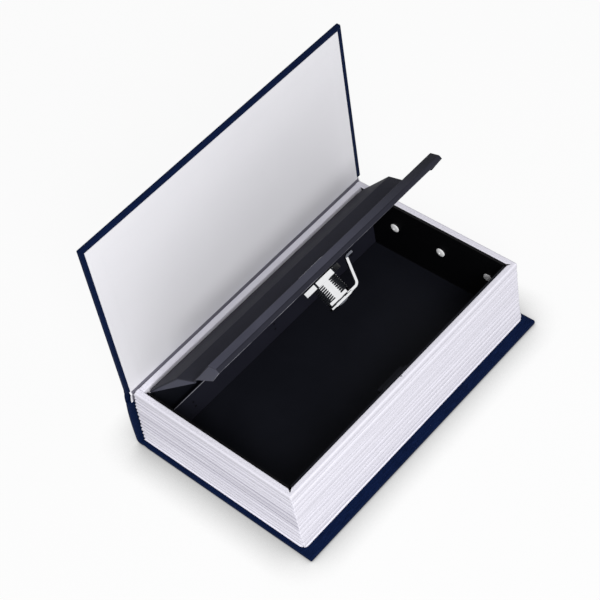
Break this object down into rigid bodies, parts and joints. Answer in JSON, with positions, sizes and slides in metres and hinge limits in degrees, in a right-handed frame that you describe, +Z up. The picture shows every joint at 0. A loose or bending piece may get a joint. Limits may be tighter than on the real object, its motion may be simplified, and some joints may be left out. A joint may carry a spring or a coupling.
{
  "type": "book diversion safe",
  "caption": "Hollow hardback book that hides a locking steel tray: hinged cover, folded steel lid with a cam lock, ribbed page edges and riveted tray walls",
  "frame": {"origin": "centre of the underside of the back cover, which is the bottom centre of the box round the open book", "axes": "+X along the book from tail to head, +Y from the fore-edge to the spine, +Z up; the book lies on its back cover and stands open as in the picture"},
  "size_m": [0.24, 0.162, 0.2074],
  "materials": {
    "cloth": "navy book cloth over grey board, fine woven grain, matt",
    "lining": "white endpaper with a faint lavender cast, smooth and matt",
    "pages": "off-white ribbed page edges with a smooth rim, matt",
    "card": "plain grey card, unseen",
    "black_steel": "black powder coat, fine texture, satin",
    "pin_steel": "plain steel wire",
    "rivet_aluminium": "bright blind rivet, lightly satin",
    "chrome": "bright chrome plate"
  },
  "bodies": {
    "book": {"back_board": "cloth", "back_joint_cloth": "cloth", "spine_board": "cloth", "cover_joint_cloth": "cloth", "endpaper_strip": "lining", "page_edge_tail": "pages", "page_edge_head": "pages", "page_edge_fore": "pages", "page_block_back": "pages", "base_pad": "card", "steel_tray": "black_steel", "rear_rail": "black_steel", "catch_bracket": "black_steel", "tray_hinge_leaf": "black_steel", "hinge_pin": "pin_steel", "rivet_tail_1": "rivet_aluminium", "rivet_tail_2": "rivet_aluminium", "rivet_tail_3": "rivet_aluminium", "rivet_head_1": "rivet_aluminium", "rivet_head_2": "rivet_aluminium", "rivet_head_3": "rivet_aluminium"},
    "cover": {"front_board": "cloth", "front_lining": "lining"},
    "lid": {"lid_panel": "black_steel", "lid_hinge_leaf": "black_steel", "lock_barrel": "chrome", "lock_spacer": "chrome", "lock_nut": "chrome"},
    "cam": {"key_plug": "chrome", "cam": "chrome", "cam_washer": "chrome", "cam_screw": "chrome"}
  },
  "joints": [
    {"name": "cover_hinge", "type": "hinge", "parent": "book", "child": "cover", "pos_m": [0, 0.06725, 0.0593], "axis": [-1, 0, 0], "range_deg": [-88, 84], "deforming": ["cover_joint_cloth"]},
    {"name": "lid_hinge", "type": "hinge", "parent": "book", "child": "lid", "pos_m": [0, 0.06085, 0.0592], "axis": [-1, 0, 0], "range_deg": [-47.8, 46]},
    {"name": "cam_turn", "type": "hinge", "parent": "lid", "child": "cam", "pos_m": [-0.0059, -0.00415, 0.13004], "axis": [0, -0.831, -0.5563], "range_deg": [-22, 68]}
  ],
  "couplings": [
    {"joint": "lid_hinge", "follows": "cover_hinge", "ratio": 0.5409}
  ]
}
